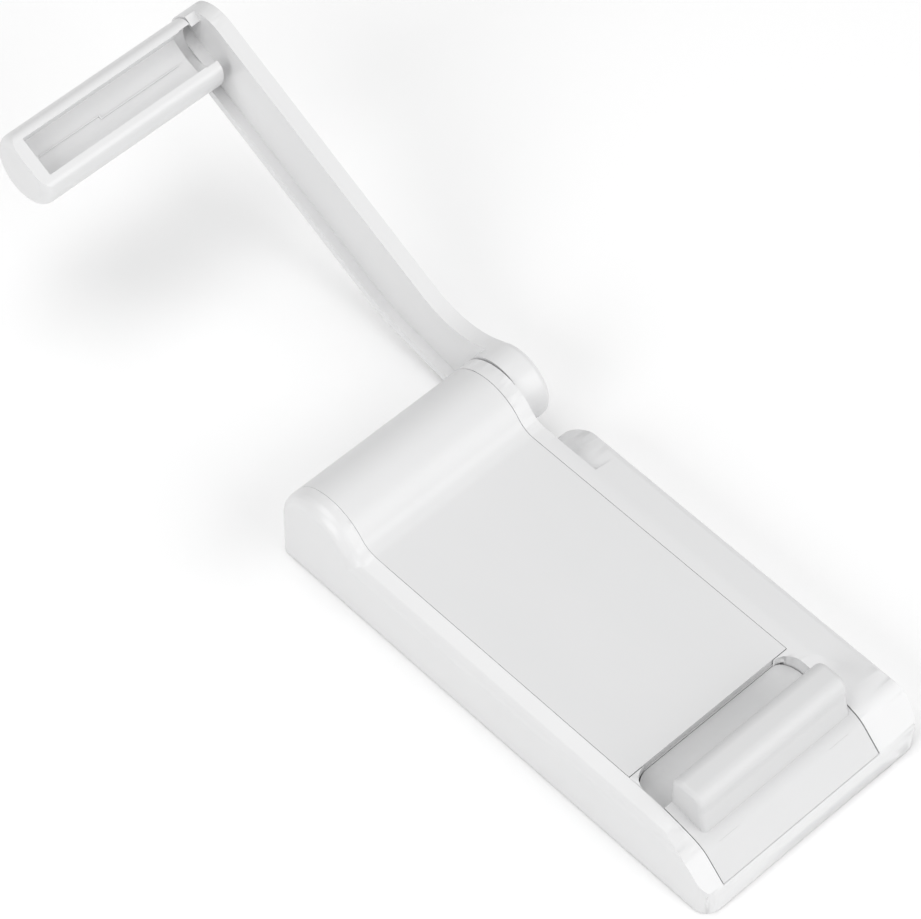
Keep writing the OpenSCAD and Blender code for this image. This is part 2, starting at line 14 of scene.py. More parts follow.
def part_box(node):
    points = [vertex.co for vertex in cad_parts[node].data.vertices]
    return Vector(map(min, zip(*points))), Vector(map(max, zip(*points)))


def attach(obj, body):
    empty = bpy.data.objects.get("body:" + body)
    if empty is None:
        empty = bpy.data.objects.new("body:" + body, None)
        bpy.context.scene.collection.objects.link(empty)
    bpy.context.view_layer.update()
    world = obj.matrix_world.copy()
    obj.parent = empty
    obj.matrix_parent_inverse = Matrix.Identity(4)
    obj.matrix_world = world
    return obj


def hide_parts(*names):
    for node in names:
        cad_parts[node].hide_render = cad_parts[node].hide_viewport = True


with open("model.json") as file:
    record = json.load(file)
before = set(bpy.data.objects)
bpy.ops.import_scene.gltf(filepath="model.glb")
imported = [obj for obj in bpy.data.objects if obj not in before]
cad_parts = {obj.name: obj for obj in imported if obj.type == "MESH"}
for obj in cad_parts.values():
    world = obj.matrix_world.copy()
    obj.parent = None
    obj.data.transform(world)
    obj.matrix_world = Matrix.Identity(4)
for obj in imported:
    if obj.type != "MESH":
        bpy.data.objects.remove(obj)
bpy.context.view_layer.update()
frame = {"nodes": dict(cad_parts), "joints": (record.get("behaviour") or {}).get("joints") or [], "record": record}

# %% [markdown]
# Moulded parts are drawn in millimetres, as on a maker's drawing, so one helper turns
# a node's box into millimetres. The main sizes are read from the boxes. The smaller
# ones, such as fillets and walls, are the design's own and are named once.

# %% Sizes that several pieces share
MM = 0.001


def node_mm(name):
    low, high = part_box(name)
    return low / MM, high / MM


shell_low, shell_high = node_mm("housing")
panel_low, panel_high = node_mm("cover_panel")
catch_low, catch_high = node_mm("catch_insert")
plate_low, plate_high = node_mm("base_plate")
swing_joint = next(j for j in frame["joints"] if j["name"] == "lever_swing")
axis_z = swing_joint["pos_m"][2] / MM
swing = math.radians(max(swing_joint["range_deg"]))
left_x, right_x = shell_low.x, shell_high.x
front_y, rear_y = shell_low.y, shell_high.y
seam = 0.25
seam_left, seam_right = panel_low.x - seam, panel_high.x + seam
panel_front = panel_low.y - seam
barrel_r = rear_y
deck_z = 17.5
wall = 2.2
cheek_x = 24.7
corner_r = 4.0
fillet_r = 6.0
print("axis height", axis_z, "swing", round(math.degrees(swing), 1), "seams", seam_left, seam_right)

# %% [markdown]
# Outlines are lists of points. An arc adds points round a centre, and a corner is
# rounded by swapping its point for a short arc. Angles are in degrees, measured from
# the first axis of the drawing towards the second.

# %% Helpers for drawing outlines
def arc(centre, radius, start, end, steps=16):
    turns = [math.radians(start + (end - start) * i / steps) for i in range(steps + 1)]
    return [(centre[0] + radius * math.cos(t), centre[1] + radius * math.sin(t)) for t in turns]


def rounded(corners, steps=6):
    """Corners are (a, b) or (a, b, radius); those with a radius become arcs."""
    made = []
    for i, corner in enumerate(corners):
        here = Vector(corner[:2])
        if len(corner) < 3:
            made.append(tuple(here))
            continue
        to_last = (Vector(corners[i - 1][:2]) - here).normalized()
        to_next = (Vector(corners[(i + 1) % len(corners)][:2]) - here).normalized()
        half = to_last.angle(to_next) / 2
        reach = corner[2] / math.tan(half)
        middle = here + (to_last + to_next).normalized() * (corner[2] / math.sin(half))
        first, last = here + to_last * reach - middle, here + to_next * reach - middle
        sweep = first.angle_signed(last)
        for k in range(steps + 1):
            turned = first.copy()
            turned.rotate(Matrix.Rotation(-sweep * k / steps, 2))
            made.append(tuple(middle + turned))
    return made


def opened(points):
    """Turns an outline drawn with the lever folded to the open pose."""
    c, s = math.cos(-swing), math.sin(-swing)
    return [(y * c - (z - axis_z) * s, axis_z + y * s + (z - axis_z) * c) for y, z in points]


print("a rounded square has", len(rounded([(0, 0, 1), (9, 0, 1), (9, 9, 1), (0, 9, 1)])), "points")

# %% [markdown]
# A moulding starts as a single vertex that is extruded from point to point of its
# outline, filled, and extruded again to its thickness. It is how one would trace a
# drawing by hand, and it keeps curved outlines even.

# %% Helpers that make solids
def place(axis, along, a, b):
    return Vector({"x": (along, a, b), "y": (a, along, b), "z": (a, b, along)}[axis])


def start_vertex(name, at):
    bpy.ops.object.select_all(action="DESELECT")
    bpy.ops.mesh.primitive_plane_add(size=2, location=(0, 0, 0))
    made = bpy.context.object
    made.name = made.data.name = name
    bpy.ops.object.mode_set(mode="EDIT")
    bpy.ops.mesh.select_mode(type="VERT")
    bpy.ops.mesh.select_all(action="SELECT")
    bpy.ops.mesh.merge(type="CENTER")
    bpy.ops.transform.translate(value=at)
    return made


def trace(points):
    for here, there in zip(points, points[1:]):
        bpy.ops.mesh.extrude_region_move(TRANSFORM_OT_translate={"value": there - here})


def prism(name, axis, low, high, outline):
    """A solid with the outline's shape, from low to high along the axis."""
    points = [place(axis, low, a, b) for a, b in outline]
    points = [p for p, q in zip(points, points[-1:] + points[:-1]) if (p - q).length > 2e-3]
    made = start_vertex(name, points[0])
    trace(points + points[:1])
    bpy.ops.mesh.select_all(action="SELECT")
    bpy.ops.mesh.remove_doubles(threshold=1e-3)
    bpy.ops.mesh.edge_face_add()
    step = place(axis, high - low, 0, 0)
    bpy.ops.mesh.extrude_region_move(TRANSFORM_OT_translate={"value": step})
    bpy.ops.mesh.select_all(action="SELECT")
    bpy.ops.mesh.normals_make_consistent(inside=False)
    bpy.ops.object.mode_set(mode="OBJECT")
    return made


def block(x, y, z):
    return prism("block", "z", z[0], z[1], [(x[0], y[0]), (x[1], y[0]), (x[1], y[1]), (x[0], y[1])])


def turned(name, centre, profile, steps=96):
    """A solid of revolution about X: profile is (x, radius) from axis back to axis."""
    points = [Vector((x, centre[0], centre[1] + r)) for x, r in profile]
    made = start_vertex(name, points[0])
    trace(points)
    bpy.ops.mesh.select_all(action="SELECT")
    bpy.ops.mesh.spin(steps=steps, angle=2 * math.pi, axis=(1, 0, 0),
                      center=(0, centre[0], centre[1]))
    bpy.ops.mesh.select_all(action="SELECT")
    bpy.ops.mesh.remove_doubles(threshold=1e-3)
    bpy.ops.mesh.normals_make_consistent(inside=False)
    bpy.ops.object.mode_set(mode="OBJECT")
    return made


def rod(x0, x1, radius, y=0.0, z=axis_z, steps=64):
    return turned("rod", (y, z), [(x0, 0), (x0, radius), (x1, radius), (x1, 0)], steps)


def loft(name, sections):
    """A solid through several outlines with the same number of points, each at its own x."""
    made = None
    for x, outline in sections:
        points = [Vector((x, a, b)) for a, b in outline]
        if made is None:
            made = start_vertex(name, points[0])
        else:
            bpy.ops.mesh.select_all(action="DESELECT")
            bpy.ops.mesh.primitive_plane_add(size=2, location=(0, 0, 0))
            bpy.ops.mesh.merge(type="CENTER")
            bpy.ops.transform.translate(value=points[0])
        trace(points + points[:1])
    bpy.ops.mesh.select_all(action="SELECT")
    bpy.ops.mesh.remove_doubles(threshold=1e-3)
    bpy.ops.mesh.bridge_edge_loops(type="SINGLE")
    bpy.ops.mesh.select_all(action="DESELECT")
    bpy.ops.mesh.select_non_manifold()
    bpy.ops.mesh.edge_face_add()
    bpy.ops.mesh.select_all(action="SELECT")
    bpy.ops.mesh.normals_make_consistent(inside=False)
    bpy.ops.object.mode_set(mode="OBJECT")
    return made


test = rod(0, 5, 2)
print("a test rod has", len(test.data.polygons), "faces")
bpy.data.objects.remove(test)

# %% [markdown]
# Solids are joined, cut and limited with boolean modifiers that are applied at once.
# Then a bevel rounds the remaining sharp edges, as a mould does, and weighted normals
# keep broad faces flat next to their rounded edges.

# %% Helpers that combine and finish solids
def apply_modifier(piece, kind, **settings):
    bpy.ops.object.select_all(action="DESELECT")
    piece.select_set(True)
    bpy.context.view_layer.objects.active = piece
    modifier = piece.modifiers.new(kind.lower(), kind)
    for key, value in settings.items():
        setattr(modifier, key, value)
    bpy.ops.object.modifier_apply(modifier=modifier.name)


def combine(piece, how, *tools, solver="EXACT"):
    for tool in tools:
        apply_modifier(piece, "BOOLEAN", operation=how, solver=solver, object=tool)
        bpy.data.objects.remove(tool)
    return piece


def soften(piece, width, segments=3, angle=32):
    apply_modifier(piece, "WELD", merge_threshold=0.02)
    apply_modifier(piece, "BEVEL", width=width, segments=segments, limit_method="ANGLE",
                   angle_limit=math.radians(angle), use_clamp_overlap=True, miter_outer="MITER_ARC")
    bpy.ops.object.shade_smooth_by_angle(angle=math.radians(40))
    apply_modifier(piece, "WEIGHTED_NORMAL", weight=60, keep_sharp=True)
    print(piece.name, "has", len(piece.data.polygons), "faces")
    return piece


def belongs(piece, body, slot_name, *nodes):
    """Shrinks the finished piece from millimetres to metres and hands it to its body."""
    bpy.ops.object.select_all(action="DESELECT")
    piece.select_set(True)
    bpy.context.view_layer.objects.active = piece
    piece.scale = (MM, MM, MM)
    bpy.ops.object.transform_apply(location=False, rotation=False, scale=True)
    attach(piece, body)
    if nodes:
        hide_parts(*nodes)


print("joining and softening are ready")

# %% [markdown]
# Housing, cover and catch share one side outline: a short front wall, a slope, a
# gently domed brow, the flat deck, a hollow fillet and the barrel. It is drawn once,
# and `drop` gives the same outline one wall further in.

# %% The shared side outline
brow_r = 74.0
brow_y = panel_front - 1.5
slope_deg = 46.0


def slope_meets_brow(drop):
    foot = (front_y + drop * 0.6, 7 - drop * 0.6)
    y = foot[0]
    while foot[1] + (y - foot[0]) * math.tan(math.radians(slope_deg)) < \
            deck_z - brow_r + math.sqrt((brow_r - drop) ** 2 - (y - brow_y) ** 2):
        y += 0.02
    return foot, y


def front_outline(drop=0.0, back=-14.0, bottom=0.0, soft=True):
    foot, meet_y = slope_meets_brow(drop)
    centre = (brow_y, deck_z - brow_r)
    start = math.degrees(math.atan2(math.sqrt((brow_r - drop) ** 2 - (meet_y - brow_y) ** 2), meet_y - brow_y))
    wall_y = front_y + drop
    wall_z = foot[1] + (wall_y - foot[0]) * math.tan(math.radians(slope_deg))
    brow = arc(centre, brow_r - drop, start, 90, 20)
    corners = [(wall_y, bottom), (wall_y, wall_z, 3.6), (*brow[0], 9.0)] if soft else \
              [(wall_y, bottom), (wall_y, wall_z), brow[0]]
    lead = rounded(corners + [brow[4]], 10)[:-1] if soft else corners
    return lead + brow[(4 if soft else 1):] + [(back, deck_z - drop), (back, bottom)]


def barrel_outline(radius, deck, back_z=0.0):
    """From the deck over the fillet and round the barrel, down to back_z."""
    reach = barrel_r + fillet_r
    rise = deck_z + fillet_r - axis_z
    run = -math.sqrt(reach ** 2 - rise ** 2)
    meet = math.degrees(math.atan2(rise, run))
    hollow = arc((run, axis_z + rise), reach - radius, 270, meet + 180, 14)[::1]
    if hollow[0][1] > deck + 0.01 or hollow[0][1] < deck - 0.01:
        hollow = [(run, deck)] + hollow[1:]
    round_top = arc((0, axis_z), radius, meet, 0, 48)
    return hollow + round_top[1:] + [(radius, back_z)]


print("side outline has", len(front_outline()) + len(barrel_outline(barrel_r, deck_z)), "points")

# %% [markdown]
# The housing is one moulding. Its front part is what three outlines have in common:
# the side view, the cross-section with its soft shoulders, and the plan with round
# corners. The barrel end is bridged through sections whose size shrinks towards the
# left end, so the barrel is round there and its fillet flows into the rim.

# %% Housing: outer form
strip_end = 15.9
neck_r = 23.2
neck_y, neck_z = -31.0, -6.0
rim_r = 3.0
section = rounded([(left_x, -1), (left_x, strip_end - 0.1, rim_r), (seam_left, deck_z, 6.0), (seam_right, deck_z),
                   (cheek_x, deck_z - 0.1), (right_x, strip_end, 3.0), (right_x, -1)], 7)
plan = rounded([(left_x, front_y, corner_r), (right_x, front_y, corner_r), (right_x, 20), (left_x, 20)], 8)

housing = prism("housing_shell", "x", left_x, cheek_x, front_outline(back=-9.0))
strip = prism("strip", "x", cheek_x - 0.01, right_x, front_outline(back=-9.0))
strip_room = prism("strip_room", "x", cheek_x - 0.1, right_x + 1,
                   [(neck_y, 40), (neck_y, neck_z + 0.8 + neck_r - 1.6)]
                   + arc((neck_y, neck_z + 0.8), neck_r - 1.6, 90, 0, 24) + [(20, neck_z), (20, 40)])
combine(strip, "DIFFERENCE", strip_room)
combine(housing, "UNION", strip)
combine(housing, "INTERSECT", prism("section", "y", front_y - 1, 0, section))
combine(housing, "INTERSECT", prism("plan", "z", -1, 40, plan))
print("front part has", len(housing.data.polygons), "faces")

# %% Housing: barrel end
def height_at(x):
    """The height of the cross-section's top at x, left of the cover."""
    edge_z = strip_end - 0.1
    tilt = math.atan2(deck_z - edge_z, seam_left - left_x)
    inward = min(x, seam_left) - left_x
    if inward > rim_r * (1 - math.sin(tilt)):
        return edge_z + inward * math.tan(tilt) - 0.03
    return edge_z - rim_r * math.tan((math.pi / 2 - tilt) / 2) + math.sqrt(rim_r ** 2 - (rim_r - inward) ** 2) - 0.03


def barrel_section(x):
    radius = barrel_r
    depth = 3.2 - (x - left_x)
    if depth > 0:
        radius = barrel_r - 3.2 + math.sqrt(3.2 ** 2 - depth ** 2)
    deck = height_at(x)
    reach = barrel_r + fillet_r
    rise = deck + fillet_r - axis_z
    run = -math.sqrt(reach ** 2 - rise ** 2)
    meet = math.degrees(math.atan2(rise, run))
    hollow = arc((run, axis_z + rise), reach - radius, 270, meet + 180, 14)
    return [(-18, 0), (-18, hollow[0][1])] + hollow + arc((0, axis_z), radius, meet, 0, 48)[1:] + [(radius, 0)]


steps = [0.0, 0.1, 0.3, 0.6, 1.0, 1.5, 2.0, 2.6, 3.2, 4.2, seam_left - left_x, cheek_x - left_x]
barrel = loft("barrel", [(left_x + step, barrel_section(left_x + step)) for step in steps])
print("the barrel has", len(barrel.data.polygons), "faces")


combine(housing, "UNION", barrel)
print("with its barrel end the housing has", len(housing.data.polygons), "faces")

# %% [markdown]
# Inside, the housing is a shell with one even wall. The tools that hollow it repeat
# the outer outlines one wall further in. Openings for the cover and the catch are
# then cut from above, and slots are cut for the shaft and the sash bolt.

# %% Housing: hollow inside
inner = prism("inner", "x", left_x + wall, right_x - wall,
              front_outline(wall, back=-13.0, bottom=-1.0, soft=False))
inner_strip = prism("inner_strip", "x", cheek_x - wall, right_x, [
    (neck_y, 40), (neck_y, neck_z + 0.8 + neck_r - 1.6 - wall)]
    + arc((neck_y, neck_z + 0.8), neck_r - 1.6 - wall, 90, 0, 24) + [(20, neck_z), (20, 40)])
combine(inner, "DIFFERENCE", inner_strip)
combine(inner, "INTERSECT", prism("inner_section", "y", front_y, 0, [
    (left_x + wall, -2), (left_x + wall, strip_end - wall), (seam_left, deck_z - wall),
    (seam_right, deck_z - wall), (right_x - wall, strip_end - wall), (right_x - wall, -2)]))
combine(housing, "DIFFERENCE", inner)
combine(housing, "DIFFERENCE", prism("inner_barrel", "x", left_x + wall, seam_right, [
    (-13.4, -1), (-13.4, deck_z - wall)] + arc((0, axis_z), barrel_r - wall, 164, 0, 40) + [(rear_y - wall, -1)]))
print("hollow housing has", len(housing.data.polygons), "faces")

# %% Housing: ledges, shelf and openings
rib = 1.5
ledge_z = (deck_z - 4.4, deck_z - 2.1)
shelf_z = (4.5, 6.5)
ribs = block((left_x + 1, right_x - 1), (front_y + 1, panel_front + 1.9), shelf_z)
combine(ribs, "UNION", block((seam_left - rib, seam_right + rib), (panel_front - 0.1, panel_front + 2), (shelf_z[0] + 0.2, deck_z - 1.9)))
for edge_x, inward in ((seam_left, 1), (seam_right, -1)):
    span = sorted((edge_x - inward * (rib - 0.1), edge_x + inward * 1.8))
    outer = sorted((edge_x - inward * rib, edge_x + inward * 0.1))
    combine(ribs, "UNION", block(span, (front_y + 6.5, -15.9), (ledge_z[0], ledge_z[1] + 0.1)),
            block(outer, (front_y + 1.5, -15.8), (ledge_z[0] + 0.3, deck_z - 0.5)),
            block(outer, (front_y + 1.6, panel_front + 1), (shelf_z[0] + 0.1, deck_z - 1.0)))
limit = prism("limit", "x", left_x + 0.7, right_x - 0.7, front_outline(0.7, back=-13.2, bottom=0.5, soft=False))
combine(limit, "INTERSECT", prism("limit_section", "y", front_y, 0, [
    (left_x + 0.7, -2), (left_x + 0.7, strip_end - 1.4), (seam_left, deck_z - 0.7),
    (seam_right, deck_z - 0.7), (right_x - 0.7, strip_end - 1.4), (right_x - 0.7, -2)]))
combine(ribs, "INTERSECT", limit)
combine(housing, "UNION", ribs)


def catch_opening():
    """The opening that the catch fills: a notch through the front, with round rear corners."""
    tool = prism("catch_opening", "x", seam_left, seam_right, [
        (front_y - 1, 7.4), (front_y + 0.9, 7.4), (front_y + 0.9, shelf_z[1] + 0.01),
        (panel_front + 0.02, shelf_z[1] + 0.01), (panel_front + 0.02, 58), (front_y - 1, 58)])
    return combine(tool, "INTERSECT", prism("opening_plan", "z", 0, 60, rounded([
        (seam_left - 1e-4, front_y - 2), (seam_right + 1e-4, front_y - 2),
        (seam_right + 1e-4, panel_front + 0.03, 4.8), (seam_left - 1e-4, panel_front + 0.03, 4.8)], 10)))


combine(housing, "DIFFERENCE",
        block((seam_left, seam_right), (panel_front, rear_y + 1), (deck_z - 2.1, 60)),
        block((seam_left + 1.8, seam_right - 1.8), (panel_front + 2, -10), (deck_z - wall - 0.3, 50)),
        block((seam_left, seam_right), (-16, rear_y + 1.5), (9.2, 55)),
        catch_opening(),
        rod(seam_right - 1, cheek_x + 1, 4.3),
        block((-5.3, 5.3), (rear_y - 4, rear_y + 1), (2.1, 7.5)))
soften(housing, 0.35, 3)
belongs(housing, "body", "housing_white", "housing")

# %% [markdown]
# The cover is one thin curved plate. Its outline goes out along the top of the shared
# outline and back along the same line one wall further in, so a single extrusion
# makes the sweep over the barrel.

# %% Cover panel
skin = 2.0
over = barrel_outline(barrel_r, deck_z, 9.2 + seam)
under = barrel_outline(barrel_r - skin, deck_z - skin, 9.2 + seam)
cover = prism("cover_sweep", "x", seam_left + 0.09, seam_right - 0.09,
              [(panel_low.y, deck_z - skin), (panel_low.y, deck_z)] + over + under[::-1])
for side_x, outward in ((seam_left + 2.0, -1), (seam_right - 2.0, 1)):
    for leg_y in (-30, -62, panel_front + 14):
        leg = sorted((side_x, side_x - outward * 1.2))
        hook = sorted((side_x - outward * 0.1, side_x + outward * 1.0))
        combine(cover, "UNION", block(leg, (leg_y, leg_y + 7), (deck_z - 5.8, deck_z - skin + 0.2)),
                block(hook, (leg_y, leg_y + 7), (deck_z - 5.8, deck_z - 4.6)))
soften(cover, 0.28, 3)
belongs(cover, "body", "cover_white", "cover_panel")

# %% [markdown]
# The catch fills the front opening. It is the shared outline again, with a scoop
# sunk behind a raised bar, and rounded corners where it meets the cover. The bar is
# what the hollow grip snaps over, so its top edges are well rounded.

# %% Catch insert
bar_y = -109.6
bar_t = 9.4
bar_top = catch_high.z
flat_z = 20.95
bar_x = (seam_left + 2.6, seam_right - 0.9)
catch = prism("catch_block", "x", catch_low.x - 0.08, catch_high.x + 0.08, front_outline(0.15, back=panel_front - 0.15))
combine(catch, "DIFFERENCE", block((left_x, right_x), (front_y - 1, 0), (-1, shelf_z[1] + 0.02)))
scoop_y = (panel_front + bar_y + bar_t / 2) / 2
scoop_r, scoop_deep = 6.2, 4.2
combine(catch, "DIFFERENCE", prism("scoop", "x", catch_low.x - 1, catch_high.x + 1,
                                   arc((scoop_y, deck_z + scoop_r - scoop_deep), scoop_r, 0, 356.25, 95)))
combine(catch, "INTERSECT", prism("catch_plan", "z", 0, 60, rounded([
    (catch_low.x - 0.08, front_y + 0.1), (catch_high.x + 0.08, front_y + 0.1),
    (catch_high.x + 0.08, panel_front - 0.15, 4.65), (catch_low.x - 0.08, panel_front - 0.15, 4.65)], 10)))
print("catch block has", len(catch.data.polygons), "faces")

# %% Catch bar, cored underneath
y0, y1 = bar_y - bar_t / 2, bar_y + bar_t / 2
bar = prism("bar", "x", bar_x[0], bar_x[1], rounded([
    (y0 - 1.3, deck_z - 5.5), (y0 - 1.3, deck_z - 2.4, 1.2), (y0, flat_z - 0.3, 3.0),
    (y0, bar_top, 3.3), (y1, bar_top, 3.3), (y1, deck_z - 5.5)], 10))
apply_modifier(bar, "BEVEL", width=1.3, segments=5, limit_method="ANGLE", angle_limit=math.radians(60))
combine(catch, "UNION", bar)
combine(catch, "DIFFERENCE",
        block((catch_low.x + 2, catch_high.x - 2), (front_y + 6.2, panel_front - 2.4), (0, deck_z - scoop_deep - 2)),
        block((bar_x[0] + 2.4, bar_x[1] - 2.4), (y0 + 2.2, y1 - 2.2), (1, bar_top - 3.4)),
        block((catch_low.x - 1, catch_high.x + 1), (front_y - 1, front_y + 1.1), (2, 7.6)))
for side in (-1, 1):
    post = (seam_left + seam_right) / 2 + side * 17
    combine(catch, "UNION", block((post - 3, post + 3), (front_y + 6.5, front_y + 12.5), (shelf_z[1] + 0.02, 13.5)))
soften(catch, 0.3, 3)
belongs(catch, "body", "catch_white", "catch_insert")

# %% [markdown]
# The lever is drawn folded, as it lies over the housing, where its sizes are easy to
# read, and each outline is turned to the open pose before it is traced. It is a flat
# web with one raised lip, which follows the top edge and the round end.

# %% Lever: outline
arm_y = front_y + 16.0
arm_r = 9.8
under_z = deck_z - 0.3
mid_z = under_z + arm_r
top_z = mid_z + arm_r
lip_t, lip_h, web_t = 2.3, 2.7, 4.1
hub_x0 = cheek_x + 0.5
web_x0, web_x1 = hub_x0 + lip_h, hub_x0 + lip_h + web_t
hub_x1 = node_mm("crank_arm")[1].x
hub_r, hub_at = 10.0, (-2.5, axis_z - 1.5)
shoulder_r, shoulder_at = 13.0, (-5.8, axis_z + 2.5)
neck_run = math.sqrt((neck_r + hub_r - 0.02) ** 2 - (hub_at[1] - neck_z) ** 2)
neck_at = (hub_at[0] - neck_run, neck_z)


def upper_edge(inset):
    """From the round end along the top, over the bend and down the shoulder."""
    tilt = math.radians(16)
    shoulder = arc(shoulder_at, shoulder_r - inset, 90 - 16, -20, 24)
    bend = shoulder[0][0] - (top_z - inset - shoulder[0][1]) / math.tan(tilt)
    end = (arm_y, top_z - inset)
    return rounded([end, (bend, top_z - inset, 30.0), shoulder[0]], 10), shoulder


def meets_circle(points, centre, radius):
    """The points until they first enter a circle."""
    kept = []
    for p in points:
        if (Vector(p) - Vector(centre)).length < radius:
            break
        kept.append(p)
    return kept


top, shoulder = upper_edge(0.0)
shoulder = meets_circle(shoulder, hub_at, hub_r + 0.05)
last = Vector(shoulder[-1]) - Vector(hub_at)
join_deg = math.degrees(math.atan2(last.y, last.x))
neck_deg = math.degrees(math.atan2(hub_at[1] - neck_at[1], hub_at[0] - neck_at[0]))
lever_line = (arc((arm_y, mid_z), arm_r, 270, 90, 40) + top[1:] + shoulder[1:]
              + arc(hub_at, hub_r - 1.5, join_deg - 6, neck_deg - 180, 48)
              + arc(neck_at, neck_r, neck_deg, 90, 24))
print("lever outline has", len(lever_line), "points")

# %% Lever: web, lip and hub
lever = prism("lever_body", "x", hub_x0, web_x1, opened(lever_line))
inner_top, inner_shoulder = upper_edge(lip_t)
pocket_line = ([(-150, -40), (-150, flat_z), (arm_y - 7.46, flat_z)]
               + arc((arm_y, mid_z), arm_r - lip_t, 233, 90, 30)[1:] + inner_top[1:]
               + inner_shoulder[1:20] + [(10, axis_z), (10, -40)])
combine(lever, "DIFFERENCE", prism("pocket", "x", hub_x0 - 1, web_x0, opened(pocket_line)), solver="MANIFOLD")
hub_centre = opened([hub_at])[0]
edge = 2.0
hub = turned("hub", hub_centre, [(hub_x0 + 0.01, 0), (hub_x0 + 0.01, hub_r)]
             + [(hub_x1 - edge + edge * math.sin(math.radians(a)), hub_r - edge + edge * math.cos(math.radians(a)))
                for a in range(0, 91, 10)] + [(hub_x1, 0)], 120)
combine(lever, "UNION", hub, solver="MANIFOLD")
bpy.ops.object.mode_set(mode="EDIT")
bpy.ops.mesh.select_mode(type="EDGE")
bpy.ops.mesh.select_all(action="DESELECT")
bpy.ops.mesh.edges_select_sharp(sharpness=math.radians(50))
bpy.ops.transform.edge_bevelweight(value=1.0)
bpy.ops.object.mode_set(mode="OBJECT")
fix_z = mid_z + 4.4
bores = opened([(arm_y - 3.4, fix_z), (arm_y + 3.4, fix_z)])
combine(lever, "DIFFERENCE", rod(hub_x0 - 1, hub_x0 + 3.8, 4.03), rod(hub_x0, hub_x1 + 1, 2.15),
        rod(hub_x1 - 2.2, hub_x1 + 1, 3.8),
        *[rod(web_x0 - 1, web_x1 + 1, 1.6, *b) for b in bores],
        *[rod(web_x1 - 1.7, web_x1 + 1, 2.9, *b) for b in bores], solver="MANIFOLD")
apply_modifier(lever, "BEVEL", width=0.85, segments=4, limit_method="WEIGHT")
soften(lever, 0.15, 2, 50)
belongs(lever, "lever", "lever_white", "crank_arm")

# %% [markdown]
# The grip is a half-round bar, hollowed by a trough that fits over the catch bar. Its
# outer end is rounded, its floor is a shallow roof with a thin mould line, and it is
# cut back next to the lever so that the lever's lip can reach round it.

# %% Grip
grip_r, grip_low_x, grip_high_x = 9.3, node_mm("handle_grip")[0].x, hub_x0 - 0.3
trough_x0, trough_y, trough_w = bar_x[0] - 0.4, arm_y - 0.4, bar_t + 1.0
floor_z = bar_top + 0.4
grip_round = 2.6
grip_centre = opened([(arm_y, mid_z)])[0]
grip = turned("grip_body", grip_centre, [(grip_low_x, 0)]
              + [(grip_low_x + grip_round - grip_round * math.cos(math.radians(a)),
                  grip_r - grip_round + grip_round * math.sin(math.radians(a))) for a in range(0, 91, 10)]
              + [(grip_high_x, grip_r), (grip_high_x, 0)], 120)
flat_deg = math.degrees(math.asin((flat_z - mid_z) / grip_r))
flat_half = grip_r * math.cos(math.radians(flat_deg))
combine(grip, "INTERSECT", prism("half_round", "x", grip_low_x - 1, grip_high_x, opened(rounded(
    arc((arm_y, mid_z), grip_r + 0.02, flat_deg + 11, 169 - flat_deg, 60)
    + [(arm_y - flat_half, flat_z, 2.4), (arm_y + flat_half, flat_z, 2.4)], 8))), solver="MANIFOLD")


def trough():
    """The hollow that goes over the catch bar, with a floor like a shallow roof."""
    half = trough_w / 2
    return prism("trough", "x", trough_x0, web_x0 + 1, opened([
        (trough_y - half, flat_z - 1), (trough_y + half, flat_z - 1),
        (trough_y + half, floor_z), (trough_y, floor_z + 0.9), (trough_y - half, floor_z)]))


combine(grip, "DIFFERENCE", trough(), solver="MANIFOLD")
soften(grip, 0.5, 4)
tongue = prism("tongue", "x", grip_high_x - 0.2, web_x0, opened(
    arc((arm_y, mid_z), arm_r - lip_t - 0.25, 13, 167, 40)))
combine(tongue, "DIFFERENCE", trough(), solver="MANIFOLD")
combine(grip, "UNION", tongue, solver="MANIFOLD")
notch = opened([(trough_y, floor_z - 2.6)])[0]
combine(grip, "DIFFERENCE", rod(grip_high_x - 3.2, grip_high_x + 0.01, 6.0, *notch),
        *[rod(grip_high_x - 9, web_x0 + 1, 1.5, *b) for b in bores], solver="MANIFOLD")
soften(grip, 0.15, 2, 50)
belongs(grip, "lever", "grip_white", "handle_grip")

# %% Mould line on the trough's floor
lines = []
for x0, x1, shift in ((trough_x0 + 3, -5.0, -0.5), (-5.0, -4.6, 0.0), (-4.6, grip_high_x - 6, 0.4)):
    reach = 0.75 if x1 - x0 < 1 else 0.16
    ridge = [(trough_y + shift - reach, floor_z + 1.2), (trough_y + shift - reach, floor_z + 0.5),
             (trough_y + shift + reach, floor_z + 0.5), (trough_y + shift + reach, floor_z + 1.2)]
    lines.append(prism("mould_line", "x", x0, x1, opened(ridge)))
mould_line = lines[0]
combine(mould_line, "UNION", *lines[1:])
soften(mould_line, 0.06, 2)
belongs(mould_line, "lever", "grip_white")

# %% [markdown]
# Finishes. A small class lets shader maths be written as ordinary sums: it wraps a
# node's output, and each operator adds the Math node that does the same. Every other
# node comes from one method that sets its type, settings and inputs.

# %% A wire and a finish
class Wire:
    """The output of a shader node, which can be used in sums."""

    def __init__(self, finish, socket):
        self.finish, self.socket = finish, socket

    def math(self, operation, first, second):
        return self.finish.node("ShaderNodeMath", {"operation": operation}, {0: first, 1: second})

    def __add__(self, other):
        return self.math("ADD", self, other)

    def __radd__(self, other):
        return self.math("ADD", other, self)

    def __sub__(self, other):
        return self.math("SUBTRACT", self, other)

    def __rsub__(self, other):
        return self.math("SUBTRACT", other, self)

    def __mul__(self, other):
        return self.math("MULTIPLY", self, other)

    def __rmul__(self, other):
        return self.math("MULTIPLY", other, self)

    def __pow__(self, other):
        return self.math("POWER", self, other)


